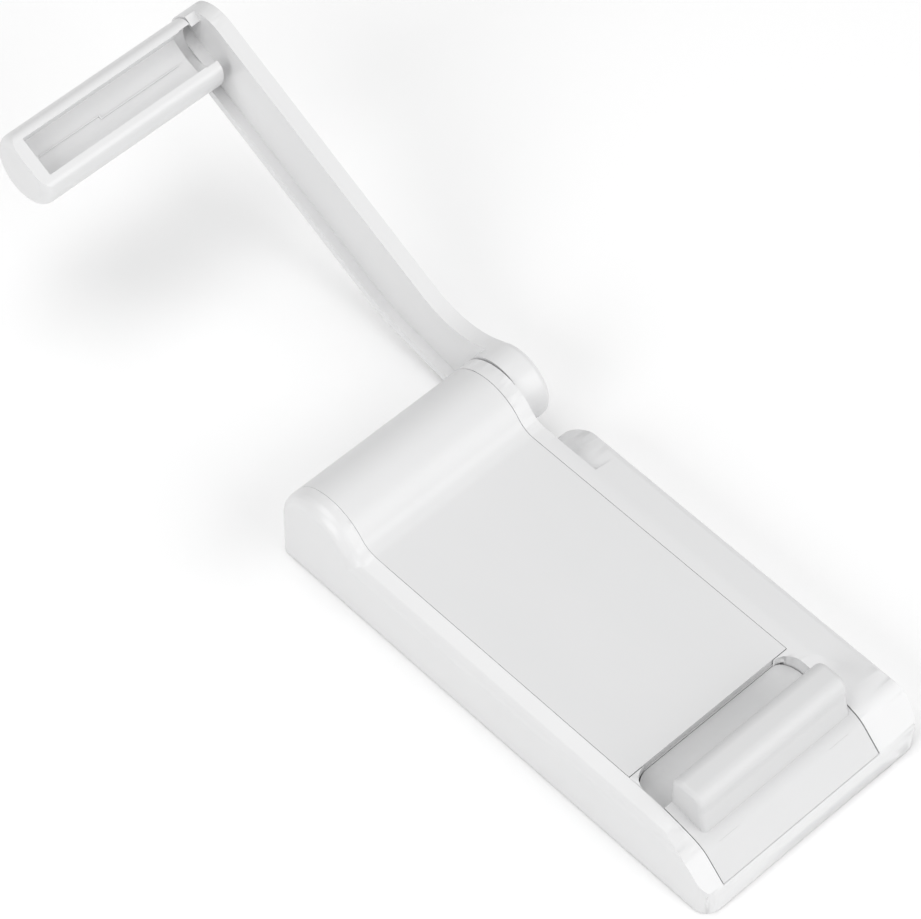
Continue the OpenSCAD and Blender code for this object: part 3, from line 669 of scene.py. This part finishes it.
class Finish:
    """A material being built: node() adds any node and returns its output."""

    def __init__(self, name):
        self.material = bpy.data.materials.new(name)
        self.material.use_nodes = True
        self.tree = self.material.node_tree
        self.surface = self.tree.nodes["Principled BSDF"]

    def plug(self, socket, value):
        if isinstance(value, Wire):
            self.tree.links.new(value.socket, socket)
        else:
            socket.default_value = value

    def node(self, kind, settings=None, inputs=None, output=0):
        made = self.tree.nodes.new(kind)
        for key, value in (settings or {}).items():
            if key == "stops":
                ramp = made.color_ramp
                while len(ramp.elements) < len(value):
                    ramp.elements.new(0.5)
                for element, (spot, colour) in zip(ramp.elements, value):
                    element.position, element.color = spot, colour
            else:
                setattr(made, key, value)
        for key, value in (inputs or {}).items():
            self.plug(made.inputs[key], value)
        return Wire(self, made.outputs[output])

    def set(self, **values):
        for key, value in values.items():
            self.plug(self.surface.inputs[key.replace("_", " ")], value)

    def spot(self, turn=(0, 0, 0), stretch=(1, 1, 1)):
        here = self.node("ShaderNodeTexCoord", output=3)
        return self.node("ShaderNodeMapping", {}, {0: here, 2: turn, 3: stretch})

    def noise(self, scale, detail=3.0, roughness=0.5, stretch=(1, 1, 1)):
        return self.node("ShaderNodeTexNoise", {}, {
            "Vector": self.spot(stretch=stretch), "Scale": scale, "Detail": detail, "Roughness": roughness})

    def ramp(self, value, *stops):
        shades = [(at, (v, v, v, 1)) for at, v in stops]
        return self.node("ShaderNodeValToRGB", {"stops": shades}, {0: value})

    def blend(self, factor, first, second):
        mix = self.tree.nodes.new("ShaderNodeMix")
        mix.data_type = "RGBA"
        self.plug(mix.inputs[0], factor)
        self.plug(mix.inputs[6], first)
        self.plug(mix.inputs[7], second)
        return Wire(self, mix.outputs[2])

    def bump(self, height, depth_mm, strength=1.0):
        return self.node("ShaderNodeBump", {}, {"Height": height, "Distance": depth_mm * MM, "Strength": strength})


print("wires can be added:", [n for n in dir(Wire) if n.startswith("__r")])

# %% [markdown]
# The mouldings are all white, but no two are quite alike: the shell and lever are
# polished, the cover has a fine satin skin, and the catch is duller. Each has faint
# flow marks in its colour, a few specks of dust, hairline scratches that show only
# in the gloss, and the slow ripple that real moulded plastic has.

# %% White mouldings
def moulded(name, light, dark, gloss, grain_mm, grain_depth, ripple_depth=0.006, scratches=0.015):
    f = Finish(name)
    flow = f.ramp(f.noise(38, 4, 0.55, (1, 0.45, 1)), (0.3, 0.0), (0.7, 1.0))
    specks = f.ramp(f.noise(2600, 1, 0.4), (0.0, 0.0), (0.74, 0.0), (0.8, 0.5))
    shade = f.blend(flow, (*light, 1), (*dark, 1))
    dusty = f.blend(specks * 0.03, shade, (0.45, 0.44, 0.42, 1))
    hair = f.ramp(f.noise(520, 2, 0.6, (1, 0.04, 1)), (0.0, 0.0), (0.70, 0.0), (0.80, 1.0))
    cross = f.ramp(f.noise(480, 2, 0.6, (0.05, 1, 0.6)), (0.0, 0.0), (0.72, 0.0), (0.82, 1.0))
    worn = f.ramp(f.noise(70, 5, 0.6), (0.35, 0.0), (0.75, 1.0))
    ripple = f.bump(f.noise(60, 2, 0.4), ripple_depth, 0.6)
    grain = f.node("ShaderNodeBump", {}, {"Height": f.noise(1000 / grain_mm, 2, 0.5), "Normal": ripple,
                                          "Distance": grain_depth * MM, "Strength": 0.5})
    f.set(Base_Color=dusty, Roughness=gloss + (hair + cross) * scratches + worn * 0.04 + specks * 0.05, Normal=grain)
    f.set(IOR=1.5, Coat_Weight=0.0)
    return f.material


whites = {
    "housing": moulded("housing_white", (0.74, 0.74, 0.742), (0.725, 0.726, 0.73), 0.29, 1.4, 0.004),
    "cover": moulded("cover_white", (0.72, 0.72, 0.723), (0.705, 0.707, 0.71), 0.34, 0.5, 0.008, 0.012),
    "catch": moulded("catch_white", (0.65, 0.65, 0.653), (0.635, 0.637, 0.64), 0.42, 0.45, 0.010, 0.012),
    "lever": moulded("lever_white", (0.74, 0.74, 0.742), (0.725, 0.726, 0.73), 0.285, 1.4, 0.004),
    "grip": moulded("grip_white", (0.74, 0.74, 0.742), (0.725, 0.726, 0.73), 0.285, 1.4, 0.004),
}
for piece, white in ((housing, "housing"), (cover, "cover"), (catch, "catch"), (lever, "lever"),
                     (grip, "grip"), (mould_line, "grip")):
    piece.data.materials.clear()
    piece.data.materials.append(whites[white])
print("white finishes:", sorted(whites))

# %% [markdown]
# The mechanism keeps its own shapes and gets metal and acetal finishes. Drawn and
# turned steel has fine lines round or along it, zinc plate has a blotchy sheen, the
# brass is slightly tarnished, and acetal is matt with a soft mould texture.

# %% Metals and acetal
def metal(name, light, dark, gloss, lines=(1, 1, 1), line_scale=900, blotch=180, depth=0.004):
    f = Finish(name)
    brushed = f.noise(line_scale, 3, 0.6, lines)
    patch = f.ramp(f.noise(blotch, 4, 0.55), (0.3, 0.0), (0.7, 1.0))
    tarnish = f.ramp(f.noise(45, 5, 0.65), (0.5, 0.0), (0.8, 1.0))
    base = f.blend(patch, (*light, 1), (*dark, 1))
    aged = f.blend(tarnish * 0.35, base, tuple(c * 0.55 for c in dark) + (1,))
    f.set(Base_Color=aged, Metallic=1.0, Roughness=gloss + brushed * 0.12 + tarnish * 0.15 + patch * 0.05,
          Normal=f.bump(brushed, depth, 0.5))
    return f.material


def acetal(name, light, dark, gloss=0.42):
    f = Finish(name)
    cloud = f.ramp(f.noise(120, 4, 0.5), (0.3, 0.0), (0.7, 1.0))
    f.set(Base_Color=f.blend(cloud, (*light, 1), (*dark, 1)), Roughness=gloss + cloud * 0.08,
          Normal=f.bump(f.noise(2500, 2, 0.5), 0.01, 0.5), IOR=1.48)
    return f.material


finishes = {
    "zinc_steel": metal("zinc_steel", (0.62, 0.63, 0.65), (0.52, 0.53, 0.56), 0.30, (1, 0.2, 1), 700, 320),
    "shaft_steel": metal("shaft_steel", (0.58, 0.58, 0.60), (0.48, 0.48, 0.50), 0.20, (3, 0.3, 0.3), 900),
    "gear_brass": metal("gear_brass", (0.78, 0.58, 0.27), (0.66, 0.47, 0.20), 0.24, (0.4, 1, 1), 900),
    "bolt_steel": metal("bolt_steel", (0.46, 0.46, 0.47), (0.34, 0.34, 0.35), 0.34, (1, 1, 1), 1500, 400, 0.01),
    "spring_steel": metal("spring_steel", (0.20, 0.21, 0.24), (0.12, 0.13, 0.17), 0.28, (1, 1, 1), 900),
    "screw_steel": metal("screw_steel", (0.66, 0.66, 0.67), (0.55, 0.55, 0.57), 0.24, (0.5, 1, 1), 1200),
    "acetal_grey": acetal("acetal_grey", (0.10, 0.10, 0.11), (0.075, 0.075, 0.085)),
    "acetal_natural": acetal("acetal_natural", (0.78, 0.76, 0.69), (0.72, 0.69, 0.61)),
}
slot_of = {row["node"]: row["material_slot"] for row in frame["record"]["subparts"]}
for node_name, node in frame["nodes"].items():
    if node.hide_render:
        continue
    node.data.materials.clear()
    node.data.materials.append(finishes[slot_of[node_name]])
    node.select_set(False)
    print(node_name, "->", slot_of[node_name])

# %% [markdown]
# The camera looks down over the front left corner with a long lens, about a metre
# away. Its direction is written as three axes, and its place is a fixed point in the
# scene.

# %% Camera
camera_data = bpy.data.cameras.new("camera")
camera = bpy.data.objects.new("camera", camera_data)
bpy.context.scene.collection.objects.link(camera)
camera_data.sensor_width = 36
camera_data.lens = 177.7
camera_data.clip_start, camera_data.clip_end = 0.05, 20
ahead = Vector((0.40895, 0.43785, -0.80065)).normalized()
right = Vector((0.72637, -0.68729, -0.00484)).normalized()
upward = right.cross(ahead)
camera.matrix_world = Matrix((
    (right.x, upward.x, -ahead.x, -0.4183), (right.y, upward.y, -ahead.y, -0.4604),
    (right.z, upward.z, -ahead.z, 0.8452), (0, 0, 0, 1)))
bpy.context.scene.camera = camera
print("camera looks along", ahead)

# %% [markdown]
# A product like this is shown on white. The floor is a wide pale plane just under the
# part, the surroundings are an even soft white, and large soft lamps give the long
# highlights along the fillet, the bar and the grip.

# %% Floor and light
def pale_floor():
    f = Finish("pale_floor")
    cloud = f.ramp(f.noise(3, 3, 0.5), (0.3, 0.0), (0.7, 1.0))
    f.set(Base_Color=f.blend(cloud, (0.97, 0.97, 0.97, 1), (0.955, 0.955, 0.955, 1)), Roughness=0.6 + cloud * 0.1)
    return f.material


bpy.ops.object.select_all(action="DESELECT")
bpy.ops.mesh.primitive_plane_add(size=14, location=(0, 0, -0.0003))
floor = bpy.context.object
floor.name = "floor"
bpy.ops.object.transform_apply(location=True, rotation=False, scale=False)
floor.data.materials.append(pale_floor())

world = bpy.data.worlds.new("studio")
bpy.context.scene.world = world
world.use_nodes = True
world.node_tree.nodes["Background"].inputs["Color"].default_value = (1, 1, 1, 1)
world.node_tree.nodes["Background"].inputs["Strength"].default_value = 0.40

middle = Vector((0, -0.03, 0.02))


def softbox(name, towards, distance, size, power):
    data = bpy.data.lights.new(name, "AREA")
    data.shape, data.size, data.size_y, data.energy = "RECTANGLE", size[0], size[1], power
    lamp = bpy.data.objects.new(name, data)
    bpy.context.scene.collection.objects.link(lamp)
    direction = Vector(towards).normalized()
    lamp.location = middle + direction * distance
    lamp.rotation_mode = "QUATERNION"
    lamp.rotation_quaternion = direction.to_track_quat("Z", "Y")
    print(name, "at", lamp.location)


softbox("front_softbox", (0.40, -0.80, 0.46), 1.4, (1.5, 1.1), 11)
softbox("left_softbox", (-0.9, -0.1, 0.55), 1.6, (0.9, 0.9), 9)
softbox("top_softbox", (-0.1, 0.2, 1.0), 1.8, (1.2, 1.2), 12)

scene_view = bpy.context.scene.view_settings
scene_view.view_transform = "Standard"
scene_view.look = "None"
